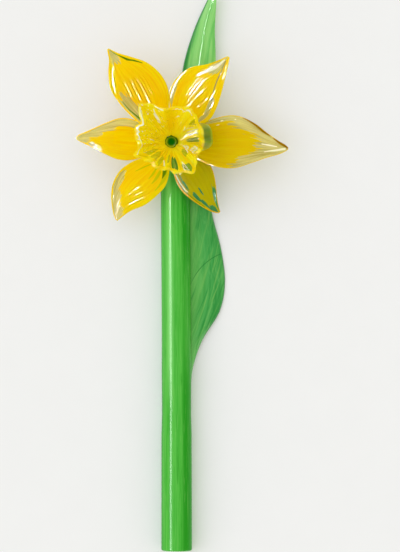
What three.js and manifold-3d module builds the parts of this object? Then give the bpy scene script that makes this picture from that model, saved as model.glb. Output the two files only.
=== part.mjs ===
// A daffodil worked in coloured glass, lying on its back: one green rod for the stem, a long green
// leaf fused along it, six ribbed yellow petals and a ruffled yellow trumpet, all held at the rod's
// bent end, which shows as the green eye in the trumpet's throat.
//
// Millimetres. While it is built, the flower's axis is x = y = 0, +Y runs from the stem's foot towards
// the leaf's tip and z = 0 is the surface that it lies on. The last lines move the origin to the
// middle of the outline, on that surface.
import * as THREE from "three";
import { mergeVertices } from "three/addons/utils/BufferGeometryUtils.js";
import Module from "manifold-3d";

const { lerp, clamp, degToRad, smoothstep } = THREE.MathUtils;
const UP = new THREE.Vector3(0, 0, 1);
const wasm = await Module();
wasm.setup();

// ---------- driving dimensions ----------

const SEAM = 0.3; // left open where two pieces of glass are fused

// The rod. Its section is round, with a flat along the underside where it was laid down hot.
const STEM_SIDES = 24;
const FLAT_HALF_ANGLE = degToRad(22.5);
const FOOT_Y = -184.7;
const FOOT_ROUND = 0.8;
const STEM_RUN = [
  // y, x of the axis, radius
  [FOOT_Y, 2.35, 7.0 - FOOT_ROUND],
  [FOOT_Y + FOOT_ROUND, 2.35, 7.0],
  [-132, 2.3, 6.9],
  [-123, 2.28, 6.62],
  [-104, 2.25, 6.72],
  [-92, 2.2, 6.62],
  [-60, 2.05, 6.64],
  [-22, 1.75, 6.64],
];
const BEND_RADIUS = 7.6;
const BEND_STEPS = 8;
const BEND_START = [-BEND_RADIUS, 1.2, 6.5];
const BEND_CENTRED = 0.8; // share of the bend in which it has come over the flower's axis
const SEAT_RADIUS = 5.0; // the swelling that the petals are pressed on to
const SEAT_Z = 14.3;
const NECK_RADIUS = 3.4;
const SHOULDER_Z = 21.5; // the trumpet sits here, round the eye
const SHOULDER = 0.2; // how far the neck is drawn in over
const EYE = { radius: 2.6, z: 23.2, lip: 2.1, round: 0.3, pit: 1.2, pitDepth: 0.7 };

// The leaf: y, left and right edge, and the height of its middle surface at each of them. It leaves
// the rod's flank just below the bend and passes under the petals.
const LEAF = [
  [-108.9, 7.2, 8.9, 3.0, 2.8],
  [-100.7, 6.9, 10.0, 3.6, 2.6],
  [-89.3, 6.6, 14.1, 4.6, 1.9],
  [-76.2, 6.5, 21.9, 5.2, 0.9],
  [-63.0, 6.5, 24.3, 5.4, 0.3],
  [-48.0, 6.5, 22.5, 5.4, 0.5],
  [-31.3, 6.5, 18.3, 5.2, 1.0],
  [-14.5, 6.8, 16.0, 4.4, 1.6],
  [3.7, 6.2, 16.3, 2.4, 2.4],
  [19.6, 3.8, 18.2, 1.1, 3.2],
  [35.5, 5.4, 20.0, 0.4, 4.2],
  [51.4, 10.1, 19.7, 0.6, 5.0],
  [65.0, 16.2, 20.3, 3.0, 6.4],
  [70.9, 18.8, 19.4, 5.4, 7.4],
];
const LEAF_THICK = 3.0;
const LEAF_EDGE = 0.35; // share of the thickness left at the edge
const LEAF_CROWN = 1.1;
const LEAF_BROAD = 6; // half width from which it has its full thickness and crown
const LEAF_NARROW = 0.5; // share of the thickness where it runs out to a point
const MIDRIB = { from: 0.55, full: 0.75, spread: 0.2, height: 0.7 }; // in its upper part only
const LEAF_CELLS = [14, 36]; // across, along

// The petals, seen from the front and named by where they stand when the stem points down. Directions
// are in degrees from +X. left and right are how far each side reaches out from the petal's midline at
// the shares of its length in PETAL_SHARES. level is the height of the root's middle surface, bend how
// far that surface has risen at half length and at the tip, curl how far each margin is turned up.
const LOW = 15.4;
const MIDDLE = 17.8;
const HIGH = 20.2;
const PETAL_SHARES = [0.25, 0.4, 0.55, 0.7, 0.82, 0.91, 0.97];
const PETALS = [
  {
    name: "petal_upper_left",
    direction: 124.4,
    length: 50.4,
    left: [6.4, 8.4, 9.5, 9.1, 6.0, 2.5, 1.1],
    right: [7.4, 12.2, 13.3, 11.3, 7.0, 3.2, 1.3],
    level: MIDDLE,
    bend: [1.8, 7.2],
    crown: 2.8,
    curl: [0.5, 1.3],
  },
  {
    name: "petal_upper_right",
    direction: 55.8,
    length: 45.9,
    left: [8.6, 13.4, 14.1, 11.8, 6.4, 3.2, 1.5],
    right: [5.6, 8.7, 8.0, 5.9, 3.9, 2.3, 1.2],
    level: HIGH,
    bend: [1.3, 7.0],
    crown: 2.5,
    curl: [0.4, 1.8],
  },
  {
    name: "petal_right",
    direction: -3.1,
    length: 52.7,
    left: [8.8, 12.4, 13.4, 10.5, 6.2, 3.3, 1.7],
    right: [7.6, 10.1, 10.2, 7.4, 4.8, 3.2, 1.7],
    level: MIDDLE,
    bend: [1.6, 0.4],
    crown: 2.8,
    curl: [1.5, 0.4],
  },
  {
    name: "petal_lower_right",
    direction: -55.5,
    length: 38.4,
    left: [6.2, 8.5, 8.2, 5.9, 3.3, 1.7, 0.9],
    right: [6.0, 8.2, 8.6, 7.1, 5.2, 3.5, 1.8],
    level: LOW,
    bend: [0.5, -6.6],
    crown: 2.0,
    curl: [0.9, 0.7],
  },
  {
    name: "petal_lower_left",
    direction: -125.1,
    length: 43,
    left: [6.6, 9.1, 8.5, 6.5, 3.2, 1.6, 0.8],
    right: [5.2, 9.2, 11.5, 10.9, 8.4, 5.2, 2.6],
    level: MIDDLE,
    bend: [0.8, -4.2],
    crown: 2.6,
    curl: [0.4, 0.9],
  },
  {
    name: "petal_left",
    direction: 177.5,
    length: 42.9,
    left: [6.4, 8.8, 8.9, 6.6, 4.2, 2.5, 1.4],
    right: [6.6, 9.4, 9.8, 7.3, 4.7, 2.8, 1.6],
    level: LOW,
    bend: [2.2, 4.4],
    crown: 2.8,
    curl: [0.4, 1.2],
  },
];
const ROOT_REACH = 3.7; // from the flower's axis to where a petal meets the neck
const ROOT_HALF_WIDTH = 1.9;
const TIP_HALF_WIDTH = 0.5;
const PETAL_THICK = [1.2, 2.1]; // at both ends, at the middle
const PETAL_EDGE = 0.5; // share of the thickness left at a margin
const FLAT_ROOT = 0.1; // share of the length that isn't arched across
const FULL_ARCH = 0.5; // share of the length from which it is
const ROOT_SWELL = 0.06; // how far the root is along the swell that dies away at the tip
const RIBS = 8; // pressed across one petal
const RIB_HEIGHT = 0.25;
const PETAL_ROWS = 14;

// The trumpet's lip: direction from the flower's axis in degrees, distance from it, height.
const LIP = [
  [0, 12.8, 38.6],
  [20, 13.2, 39.6],
  [38, 14.4, 37.0],
  [55, 16.4, 38.0],
  [70, 15.9, 40.0],
  [88, 14.8, 37.2],
  [104, 14.6, 40.6],
  [118, 18.2, 38.6],
  [131, 21.4, 36.6],
  [146, 15.9, 39.8],
  [158, 16.3, 37.8],
  [172, 15.8, 38.4],
  [187, 14.1, 40.8],
  [202, 16.9, 37.4],
  [222, 13.4, 40.2],
  [244, 13.4, 38.4],
  [263, 12.7, 40.8],
  [275, 13.8, 38.8],
  [292, 15.2, 38.0],
  [307, 17.1, 38.4],
  [320, 14.3, 40.4],
  [333, 13.1, 39.4],
  [346, 13.3, 38.2],
];
const THROAT = { radius: 2.95, z: 22.8 };
const TRUMPET_THICK = [1.8, 1.3]; // at the throat, at the lip
const TRUMPET_RISE = 1.25; // over 1 spreads the throat before the wall turns up
const BELLY = { direction: 8, spread: 27, out: 9.6 }; // the wall bulges out on one side
const FLUTE = { direction: 92, spread: 23, depth: 1.7 }; // the one wide, smooth fold
const PLEATS = 18;
const PLEAT_HEIGHT = 0.9;
const PLEAT_OUT = 0.4; // share of a pleat's height that it also goes outwards
const PLEAT_ONSET = 1.5; // over 1 keeps the pleats shallow near the throat
const SLOPE_STEP = 0.02; // share of the wall over which its slope is taken
const TRUMPET_CELLS = [72, 7]; // around, up

// ---------- helpers ----------

// Catmull-Rom through rows of numbers: t is 0 at the first row and 1 at the last.
function along(rows, t) {
  const last = rows.length - 1;
  const i = Math.min(Math.floor(t * last), last - 1);
  const f = t * last - i;
  const [a, b, c, d] = [i - 1, i, i + 1, i + 2].map((k) => rows[clamp(k, 0, last)]);
  return b.map((start, n) => {
    const linear = c[n] - a[n];
    const square = 2 * a[n] - 5 * start + 4 * c[n] - d[n];
    const cube = 3 * (start - c[n]) + d[n] - a[n];
    return start + 0.5 * f * (linear + f * (square + f * cube));
  });
}

// A closed surface over rings that all have the same number of points. Its ends are closed by the
// first and last ring being flattened to a line or a point, or, if joined, by meeting each other.
function skin(rings, joined = false) {
  const count = rings[0].length;
  const index = [];
  for (let i = 0; i < rings.length - (joined ? 0 : 1); i++) {
    for (let j = 0; j < count; j++) {
      const next = (i + 1) % rings.length;
      const k = (j + 1) % count;
      const corners = [i * count + j, i * count + k, next * count + k, next * count + j];
      index.push(corners[0], corners[2], corners[1], corners[0], corners[3], corners[2]);
    }
  }
  return new THREE.BufferGeometry().setFromPoints(rings.flat()).setIndex(index);
}

// A blade's rings, from point(t, v, face): t from 0 to 1 along it, v from -1 at its right edge to 1 at
// its left, and face 1 on top, -1 underneath and 0 in the middle, where both ends close.
function bladeRings(point, rows, cells) {
  return Array.from({ length: rows + 3 }, (_, row) => {
    const t = clamp((row - 1) / rows, 0, 1);
    const end = row === 0 || row === rows + 2;
    const side = (face) =>
      Array.from({ length: cells + 1 }, (_, j) => point(t, (2 * j) / cells - 1, end ? 0 : face));
    return [...side(1), ...side(-1).reverse()];
  });
}

function solidFrom(geometry) {
  const bare = geometry.clone();
  bare.deleteAttribute("normal");
  bare.deleteAttribute("uv");
  const merged = mergeVertices(bare, 1e-3);
  return new wasm.Manifold(
    new wasm.Mesh({
      numProp: 3,
      vertProperties: merged.attributes.position.array,
      triVerts: new Uint32Array(merged.index.array),
    }),
  );
}

function geometryFrom(solid) {
  const { vertProperties, triVerts } = solid.getMesh();
  return new THREE.BufferGeometry()
    .setAttribute("position", new THREE.BufferAttribute(vertProperties, 3))
    .setIndex(new THREE.BufferAttribute(triVerts, 1));
}

// ---------- stem ----------

// One ring of the rod: turn is how far the bend has turned it from +Y towards +Z.
function rodRing(x, y, z, radius, turn = 0) {
  return Array.from({ length: STEM_SIDES }, (_, j) => {
    const angle = ((j + 0.5) / STEM_SIDES) * 2 * Math.PI;
    const up = radius * Math.sin(angle);
    const point = new THREE.Vector3(
      x + radius * Math.cos(angle),
      y - up * Math.sin(turn),
      z + up * Math.cos(turn),
    );
    point.z = Math.max(point.z, 0);
    return point;
  });
}

// grow makes the rod that much fatter, to cut its neighbour clear of it.
function stemGeometry(grow = 0) {
  const rings = [];
  const lie = (radius) => radius * Math.cos(FLAT_HALF_ANGLE);
  const footAxis = lie(STEM_RUN[1][2]);
  rings.push(rodRing(STEM_RUN[0][1], FOOT_Y, footAxis, 0));
  rings.push(rodRing(STEM_RUN[0][1], FOOT_Y, footAxis, STEM_RUN[0][2] + grow));
  for (const [y, x, radius] of STEM_RUN.slice(1)) {
    rings.push(rodRing(x, y, lie(radius), radius + grow));
  }
  const [startY, startX, startRadius] = BEND_START;
  for (let step = 0; step <= BEND_STEPS; step++) {
    const turned = step / BEND_STEPS;
    const turn = (turned * Math.PI) / 2;
    rings.push(
      rodRing(
        startX * (1 - smoothstep(turned, 0, BEND_CENTRED)),
        startY + BEND_RADIUS * Math.sin(turn),
        lie(startRadius) + BEND_RADIUS * (1 - Math.cos(turn)),
        lerp(startRadius, SEAT_RADIUS, turned) + grow,
        turn,
      ),
    );
  }
  const upright = (z, radius) => rodRing(0, 0, z, radius + grow, Math.PI / 2);
  rings.push(upright(SEAT_Z, SEAT_RADIUS));
  rings.push(upright(SEAT_Z + SHOULDER, NECK_RADIUS));
  rings.push(upright(SHOULDER_Z, NECK_RADIUS));
  rings.push(upright(SHOULDER_Z, EYE.radius));
  rings.push(upright(EYE.z - EYE.round, EYE.radius));
  rings.push(upright(EYE.z, EYE.lip));
  rings.push(upright(EYE.z - EYE.pitDepth, EYE.pit));
  rings.push(rodRing(0, 0, EYE.z - EYE.pitDepth, 0, Math.PI / 2));
  return skin(rings);
}

// ---------- leaf ----------

function leafPoint(t, v, face) {
  const [y, left, right, leftZ, rightZ] = along(LEAF, t);
  const share = (1 - v) / 2;
  const width = (right - left) / 2;
  const broad = smoothstep(width, 0, LEAF_BROAD);
  const thick = LEAF_THICK * lerp(1, LEAF_EDGE, v * v) * lerp(LEAF_NARROW, 1, broad);
  const midrib = smoothstep(t, MIDRIB.from, MIDRIB.full) * Math.exp(-((v / MIDRIB.spread) ** 2));
  const raised = LEAF_CROWN * (1 - v * v) + MIDRIB.height * midrib;
  const z = lerp(leftZ, rightZ, share) + raised * broad + (face * thick) / 2;
  return new THREE.Vector3(lerp(left, right, share), y, Math.max(z, 0));
}

function leafGeometry() {
  const [cells, rows] = LEAF_CELLS;
  const blade = solidFrom(skin(bladeRings(leafPoint, rows, cells)));
  return geometryFrom(blade.subtract(solidFrom(stemGeometry(SEAM))));
}

// ---------- petals ----------

// Share of the length, left and right half width, from the root to the tip.
function petalStations({ length, left, right }) {
  const between = PETAL_SHARES.map((share, i) => [share, left[i], right[i]]);
  return [
    [ROOT_REACH / length, ROOT_HALF_WIDTH, ROOT_HALF_WIDTH],
    ...between,
    [1, TIP_HALF_WIDTH, TIP_HALF_WIDTH],
  ];
}

function petalPoint(petal, t, v, face) {
  const [share, left, right] = along(petalStations(petal), t);
  const reach = Math.max(share * petal.length, ROOT_REACH);
  const [half, tip] = petal.bend;
  const lift = (8 * half - tip) * share ** 2 + (2 * tip - 8 * half) * share ** 3;
  const swell = Math.sin(Math.PI * lerp(ROOT_SWELL, 1, t));
  const crown = petal.crown * smoothstep(t, FLAT_ROOT, FULL_ARCH) * swell * (1 - v * v);
  const curl = petal.curl[v > 0 ? 0 : 1] * swell * v ** 4;
  const rib = RIB_HEIGHT * swell * Math.cos(RIBS * Math.PI * v);
  const thick = lerp(...PETAL_THICK, swell) * lerp(1, PETAL_EDGE, v * v);
  const point = new THREE.Vector3(
    reach,
    lerp(-right, left, (v + 1) / 2),
    petal.level + lift + crown + curl + rib + (face * thick) / 2,
  );
  return point.applyAxisAngle(UP, degToRad(petal.direction));
}

function petalGeometry(petal) {
  const point = (t, v, face) => petalPoint(petal, t, v, face);
  return skin(bladeRings(point, PETAL_ROWS, 2 * RIBS));
}

// ---------- trumpet ----------

const lip = new THREE.CatmullRomCurve3(
  LIP.map(([angle, reach, z]) => {
    const turn = degToRad(angle);
    return new THREE.Vector3(reach * Math.cos(turn), reach * Math.sin(turn), z);
  }),
  true,
  "catmullrom",
);

// How many of its spreads an angle is away from a feature.
function spreadsAway(angle, { direction, spread }) {
  const away = angle - degToRad(direction);
  return Math.atan2(Math.sin(away), Math.cos(away)) / degToRad(spread);
}

// Radius and height of the wall's middle surface: s is 0 at the throat and 1 at the lip.
function wall(rim, angle, s) {
  const swell = Math.sin(Math.PI * s);
  const belly = BELLY.out * Math.exp(-(spreadsAway(angle, BELLY) ** 4)) * swell;
  const u = spreadsAway(angle, FLUTE);
  const fold = Math.exp(-u * u);
  const flute = FLUTE.depth * (3 * u * u - 1) * fold * swell; // a trough between two ridges
  const pleat = PLEAT_HEIGHT * Math.cos(PLEATS * angle) * (1 - fold) * s ** PLEAT_ONSET;
  const reach = Math.hypot(rim.x, rim.y);
  return new THREE.Vector2(
    lerp(THROAT.radius, reach, s) + belly + PLEAT_OUT * pleat,
    lerp(THROAT.z, rim.z, s ** TRUMPET_RISE) + pleat + flute,
  );
}

function trumpetGeometry() {
  const [around, up] = TRUMPET_CELLS;
  const rings = Array.from({ length: around }, (_, i) => {
    const rim = lip.getPoint(i / around);
    const angle = Math.atan2(rim.y, rim.x);
    const face = (side) =>
      Array.from({ length: up + 1 }, (_, j) => {
        const s = j / up;
        const here = wall(rim, angle, s);
        const step = wall(rim, angle, s + SLOPE_STEP).sub(here).normalize();
        const half = (side * lerp(...TRUMPET_THICK, s)) / 2;
        const radius = here.x + step.y * half;
        const z = here.y - step.x * half;
        return new THREE.Vector3(radius * Math.cos(angle), radius * Math.sin(angle), z);
      });
    return [...face(1), ...face(-1).reverse()];
  });
  return skin(rings, true);
}

// ---------- the flower ----------

const glass = (color, roughness) => new THREE.MeshStandardMaterial({ color, roughness, metalness: 0 });
const stemGlass = glass(0x4fae3c, 0.08);
const leafGlass = glass(0x45a552, 0.1);
const petalGlass = glass(0xf2c800, 0.06);
const trumpetGlass = glass(0xf0c000, 0.06);

function piece(name, geometry, material) {
  const mesh = new THREE.Mesh(geometry, material);
  mesh.name = name;
  return mesh;
}

const daffodil = new THREE.Group();
daffodil.add(piece("stem", stemGeometry(), stemGlass));
daffodil.add(piece("leaf", leafGeometry(), leafGlass));
for (const petal of PETALS) {
  daffodil.add(piece(petal.name, petalGeometry(petal), petalGlass));
}
daffodil.add(piece("trumpet", trumpetGeometry(), trumpetGlass));

const outline = new THREE.Box3().setFromObject(daffodil);
const middle = outline.getCenter(new THREE.Vector3());
daffodil.position.set(-middle.x, -middle.y, -outline.min.z);

export default daffodil;
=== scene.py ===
"""A daffodil worked in coloured glass, lying on a pale studio surface, seen from above.

Shapes are worked out in millimetres on the flower's own axis, as in the CAD source, then moved into
the row frame and scaled to metres when a mesh is made.
"""

from math import cos, pi, radians, sin

import bmesh
import bpy
import numpy as np
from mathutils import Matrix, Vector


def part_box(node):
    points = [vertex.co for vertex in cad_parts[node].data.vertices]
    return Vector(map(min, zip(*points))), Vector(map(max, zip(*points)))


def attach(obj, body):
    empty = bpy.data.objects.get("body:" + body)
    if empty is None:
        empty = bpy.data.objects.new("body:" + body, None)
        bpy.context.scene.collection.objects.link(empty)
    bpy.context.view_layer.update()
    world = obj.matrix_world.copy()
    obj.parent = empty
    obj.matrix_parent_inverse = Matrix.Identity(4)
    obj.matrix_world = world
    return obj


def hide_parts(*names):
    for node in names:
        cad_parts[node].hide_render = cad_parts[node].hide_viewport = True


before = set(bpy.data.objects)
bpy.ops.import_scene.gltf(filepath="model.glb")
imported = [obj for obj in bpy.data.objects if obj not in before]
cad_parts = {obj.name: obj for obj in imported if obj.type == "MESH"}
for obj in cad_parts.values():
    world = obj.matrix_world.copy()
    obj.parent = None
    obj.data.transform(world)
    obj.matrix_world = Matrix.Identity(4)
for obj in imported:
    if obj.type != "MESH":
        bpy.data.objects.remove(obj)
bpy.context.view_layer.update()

# ----- the frame -----

MM = 0.001
FOOT_X, FOOT_Y = 2.35, -184.7  # the middle of the stem's foot, from the flower's axis
FOOT_RADIUS = 7.0
CAD_SIDES = 24  # of the rod in the CAD source, which is widest along two of its long edges
FOOT_RIGHT = FOOT_X + FOOT_RADIUS * cos(pi / CAD_SIDES)
stem_low, stem_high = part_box("stem")
AXIS = np.array([stem_high.x / MM - FOOT_RIGHT, stem_low.y / MM - FOOT_Y, 0.0])

# ----- driving dimensions -----

# The CAD's own for the shapes, and this script's for marks in the glass.
FLAT_ANGLE = radians(22.5)  # half the flat along the rod's underside
FOOT_ROUND = 0.8
STEM_RUN = [
    # y, x of the axis, radius
    (FOOT_Y + FOOT_ROUND, FOOT_X, FOOT_RADIUS),
    (-132, 2.3, 6.9),
    (-123, 2.28, 6.62),
    (-104, 2.25, 6.72),
    (-92, 2.2, 6.62),
    (-60, 2.05, 6.64),
    (-22, 1.75, 6.64),
    (-7.6, 1.2, 6.5),
]
BEND_RADIUS = 7.6
BEND_CENTRED = 0.8  # share of the bend by which the rod is back on the flower's axis
SEAT_RADIUS = 5.0
SEAT_Z = 14.3
NECK_RADIUS = 3.4
SHOULDER_Z = 21.5
EYE_RADIUS = 2.6
EYE_Z = 23.2
HEAD_RINGS = [
    # height and radius of each ring from the seat, up the neck and over the eye into its hollow
    (SEAT_Z - 0.2, SEAT_RADIUS - 0.02),
    (SEAT_Z, SEAT_RADIUS - 0.25),
    (SEAT_Z + 0.2, NECK_RADIUS + 0.15),
    (SEAT_Z + 0.5, NECK_RADIUS),
    (SHOULDER_Z - 0.1, NECK_RADIUS),
    (SHOULDER_Z, NECK_RADIUS - 0.15),
    (SHOULDER_Z + 0.1, EYE_RADIUS + 0.1),
    (SHOULDER_Z + 0.3, EYE_RADIUS),
    (EYE_Z - 0.35, EYE_RADIUS),
    (EYE_Z - 0.1, EYE_RADIUS - 0.14),
    (EYE_Z, EYE_RADIUS - 0.45),
    (EYE_Z - 0.15, EYE_RADIUS - 0.8),
    (EYE_Z - 0.5, EYE_RADIUS - 1.15),
    (EYE_Z - 0.7, EYE_RADIUS - 1.7),
    (EYE_Z - 0.75, EYE_RADIUS - 2.3),
    (EYE_Z - 0.75, 0.0),
]
EYE_LIP_RADIUS = 2.2  # of the pale ring round the eye's hollow
EYE_LIP_WIDTH = 0.45
# Across the rod, places are shares of its radius from its middle. Along it they are y.
# A painted sheen: the rod is painted paler in a band down its upper left, where a soft reflection of the
# light lies.
SHEEN_BAND_PLACE = -0.45
SHEEN_BAND_WIDTH = 0.2
SHEEN_BAND_STARTS = (-125, -95)
# The rod's sides are darker: partly its own darker glass at the edges and partly painted shade, most on
# the right third away from the light.
DARK_RIGHT = (0.25, 0.55)
DARK_LEFT = (0.86, 0.98)
DARK_LOWEST = -0.3  # a little below the rod's widest place
DARK_EASED = 0.6  # how much lighter the dark sides are in the rod's middle
DARK_EASES = (-120, -80)
DARK_RETURNS = (-70, -40)
GLOSS = 0.06  # roughness of the rod near the bloom
SOFTNESS = 0.13  # added below the bloom
SOFTNESS_ENDS = (-58, -26)
MIDDLE_SOFTNESS = 0.07  # added besides above the rod's foot
MIDDLE_STARTS = (-118, -90)
FLOW_RADIUS = 6.6  # of the rod, as its streaks count it

LEAF = [
    # y, left and right edge, height of the middle surface at each
    (-108.9, 7.2, 8.9, 3.0, 2.8),
    (-100.7, 6.9, 10.0, 3.6, 2.6),
    (-89.3, 6.6, 14.1, 4.6, 1.9),
    (-76.2, 6.5, 21.9, 5.2, 0.9),
    (-63.0, 6.5, 24.3, 5.4, 0.3),
    (-48.0, 6.5, 22.5, 5.4, 0.5),
    (-31.3, 6.5, 18.3, 5.2, 1.0),
    (-14.5, 6.8, 16.0, 4.4, 1.6),
    (3.7, 6.2, 16.3, 2.4, 2.4),
    (19.6, 3.8, 18.2, 1.1, 3.2),
    (35.5, 5.4, 20.0, 0.4, 4.2),
    (51.4, 10.1, 19.7, 0.6, 5.0),
    (65.0, 16.2, 20.3, 3.0, 6.4),
    (70.9, 18.8, 19.4, 5.4, 7.4),
]
LEAF_THICK = 3.0
LEAF_EDGE = 0.35  # share of its thickness at the margins
LEAF_NARROW = 0.5  # and where it is narrowest
LEAF_CROWN = 1.1
LEAF_BROAD = 6.0  # half width from which the leaf is fully arched and thick
MIDRIB_HEIGHT = 0.7
MIDRIB_WIDTH = 0.2  # share of the leaf's half width
# Shares of the leaf's length:
MIDRIB_STARTS = (0.55, 0.75)
PALE_FOOT_ENDS = (0.1, 0.22)
# painted light: the lower leaf's left side, towards the light, is painted lighter up to here
LIT_SIDE_ENDS = (0.5, 0.62)
DARK_EDGE_CROSSES = (0.6, 0.7)  # from the right margin to the left
PALE_TIP_STARTS = (0.62, 0.8)
MARK_CENTRE = (31.1, -72.5, 0.0)  # a thin dark arc in the leaf's glass
MARK_RADIUS = 23.9
MARK_WIDTH = (0.22, 0.06)  # distances from the arc at which it is gone and full
MARK_STARTS = (-66, -58)  # in y
MARK_ENDS = -48
FAN_LEAN = 0.28  # the leaf's pale wisps lean and curve to the right as they rise
FAN_CURVE = 0.003
FAN_Y = -60.0

LOW, MIDDLE, HIGH = 15.4, 17.8, 20.2  # levels of the petals' roots
PETAL_SHARES = (0.25, 0.4, 0.55, 0.7, 0.82, 0.91, 0.97)  # of its length, where left and right are given
# direction: in degrees from +X. bend: rise of the middle line at half length and at the tip. crown:
# height of the arch across the petal. curl: rise of its left and its right margin. left, right: half
# widths. olive_and_shade, amber: shares of those colours; the olive is partly the glass's own tint and
# partly painted shade where the trumpet shades the petal. Places on a petal are its share of the length
# and v, from -1 at its right margin to 1 at its left. clear: patches with little colour, as (share, v,
# half size in each). lines: coloured lines along the petal, as a tint and (share, v, half width in mm)
# at each turn; the pale lines are painted highlights, and the grey one is painted shade and sheen in a
# groove. rims: width of the gathered colour along the right and the left margin. ribs: how many
# cross the petal. folds: sharp folds that show the strip light, as how far each reaches to its sides
# and (share, v) at each turn.
PETALS = {}
PETALS["petal_upper_left"] = dict(
    direction=124.4, length=50.4, level=MIDDLE, bend=(1.8, 7.2), crown=2.4, curl=(1.6, 1.3),
    left=(6.4, 8.4, 9.5, 9.1, 6.0, 2.5, 1.1),
    right=(7.4, 12.2, 13.3, 11.3, 7.0, 3.2, 1.3),
    clear=[(0.42, 0.78, 0.17, 0.3), (0.96, 0.1, 0.11, 0.7), (0.26, 0.9, 0.12, 0.6)],
    lines=[
        ("green", [
            (0.73, -0.86, 0.2), (0.79, -0.78, 0.45), (0.82, -0.66, 0.6), (0.9, -0.62, 0.2),
            (0.98, -0.4, 0.12),
        ]),
        ("green", [(0.3, 0.76, 0.5), (0.35, 0.8, 0.45), (0.44, 0.87, 0.25), (0.54, 0.86, 0.12)]),
    ],
    rims=(0.5, 0.8), olive_and_shade=0.0, amber=0.6, ribs=8,
    folds=[
        (0.9, [(0.64, 0.88), (0.69, 0.82), (0.77, 0.75), (0.83, 0.6)]),
        (0.7, [(0.52, 0.48), (0.59, 0.4), (0.66, 0.34)]),
        (0.7, [(0.46, 0.26), (0.51, 0.22), (0.57, 0.16), (0.66, 0.06)]),
        (0.7, [(0.38, 0.02), (0.46, -0.01), (0.52, -0.06), (0.63, -0.16)]),
        (0.6, [(0.47, -0.27), (0.53, -0.3), (0.61, -0.36)]),
    ],
)
PETALS["petal_upper_right"] = dict(
    direction=55.8, length=45.9, level=HIGH, bend=(1.3, 7.0), crown=1.8, curl=(1.5, 1.8),
    left=(8.6, 13.4, 14.1, 11.8, 6.4, 3.2, 1.5),
    right=(5.6, 8.7, 8.0, 5.9, 3.9, 2.3, 1.2),
    clear=[
        (0.9, 0.2, 0.14, 0.55), (0.35, -0.85, 0.12, 0.16), (0.5, -0.72, 0.09, 0.1),
        (0.4, 0.88, 0.1, 0.12),
    ],
    lines=[
        # painted highlight: white streaks of reflected light drawn into the fan's colour
        ("pale", [(0.68, 0.42, 0.5), (0.76, 0.35, 0.8), (0.84, 0.3, 0.7), (0.95, 0.3, 0.3)]),
        # a grey line painted along the groove inside the rolled right margin: painted shade and sheen of
        # the groove
        ("grey", [
            (0.55, -0.68, 0.2), (0.61, -0.64, 0.25), (0.71, -0.57, 0.25), (0.85, -0.43, 0.25),
            (0.95, -0.1, 0.2),
        ]),
    ],
    rims=(1.8, 0.5), olive_and_shade=0.0, amber=0.3, ribs=12,
    folds=[
        (0.6, [(0.51, 0.9), (0.59, 0.93), (0.66, 0.94)]),
        (0.5, [(0.36, 0.9), (0.42, 0.89), (0.47, 0.88)]),
        (1.2, [(0.69, 0.41), (0.75, 0.44), (0.84, 0.6), (0.91, 0.78)]),
        (0.6, [(0.47, 0.32), (0.62, 0.29), (0.73, 0.25)]),
        (0.6, [(0.49, 0.21), (0.59, 0.18), (0.68, 0.15), (0.75, 0.11)]),
        (0.65, [(0.41, 0.15), (0.54, 0.08), (0.66, 0.03), (0.74, -0.04)]),
        (0.65, [(0.39, 0.04), (0.47, -0.05), (0.57, -0.15), (0.64, -0.22)]),
        (0.55, [(0.44, -0.31), (0.49, -0.41), (0.55, -0.5)]),
        (0.45, [(0.4, -0.66), (0.47, -0.75), (0.55, -0.81)]),
        (0.5, [(0.56, -0.62), (0.61, -0.65), (0.67, -0.7)]),
        (0.45, [(0.73, -0.56), (0.78, -0.53), (0.83, -0.5)]),
    ],
)
PETALS["petal_right"] = dict(
    direction=-3.1, length=52.7, level=MIDDLE, bend=(1.6, 0.4), crown=2.8, curl=(1.5, 0.4),
    left=(8.8, 12.4, 13.4, 10.5, 6.2, 3.3, 1.7),
    right=(7.6, 10.1, 10.2, 7.4, 4.8, 3.2, 1.7),
    clear=[
        (1.0, 0.0, 0.26, 1.5), (0.74, 1.0, 0.28, 0.56), (0.45, 1.0, 0.25, 0.2),
        (0.75, -0.95, 0.22, 0.45),
    ],
    lines=[
        ("gold", [(0.6, 0.97, 0.15), (0.68, 0.95, 0.5), (0.77, 0.88, 0.7), (0.84, 0.92, 0.2)]),
        ("gold", [(0.87, 0.88, 0.25), (0.93, 0.8, 0.8), (0.985, 0.6, 0.7)]),
        # painted highlights: pale dots and streaks drawn where glints of light lie
        ("pale", [(0.415, 0.83, 0.25), (0.425, 0.83, 0.25)]),
        ("pale", [(0.385, 0.69, 0.15), (0.395, 0.69, 0.15)]),
        ("pale", [(0.53, 0.85, 0.2), (0.537, 0.85, 0.2)]),
        ("pale", [(0.77, 0.02, 0.2), (0.83, 0.06, 0.35), (0.9, 0.1, 0.2)]),
        ("pale", [(0.8, -0.5, 0.15), (0.88, -0.4, 0.4), (0.97, -0.2, 0.5)]),
    ],
    rims=(0.3, 0.35), olive_and_shade=0.4, amber=0.5, ribs=9, folds=[],
)
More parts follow.
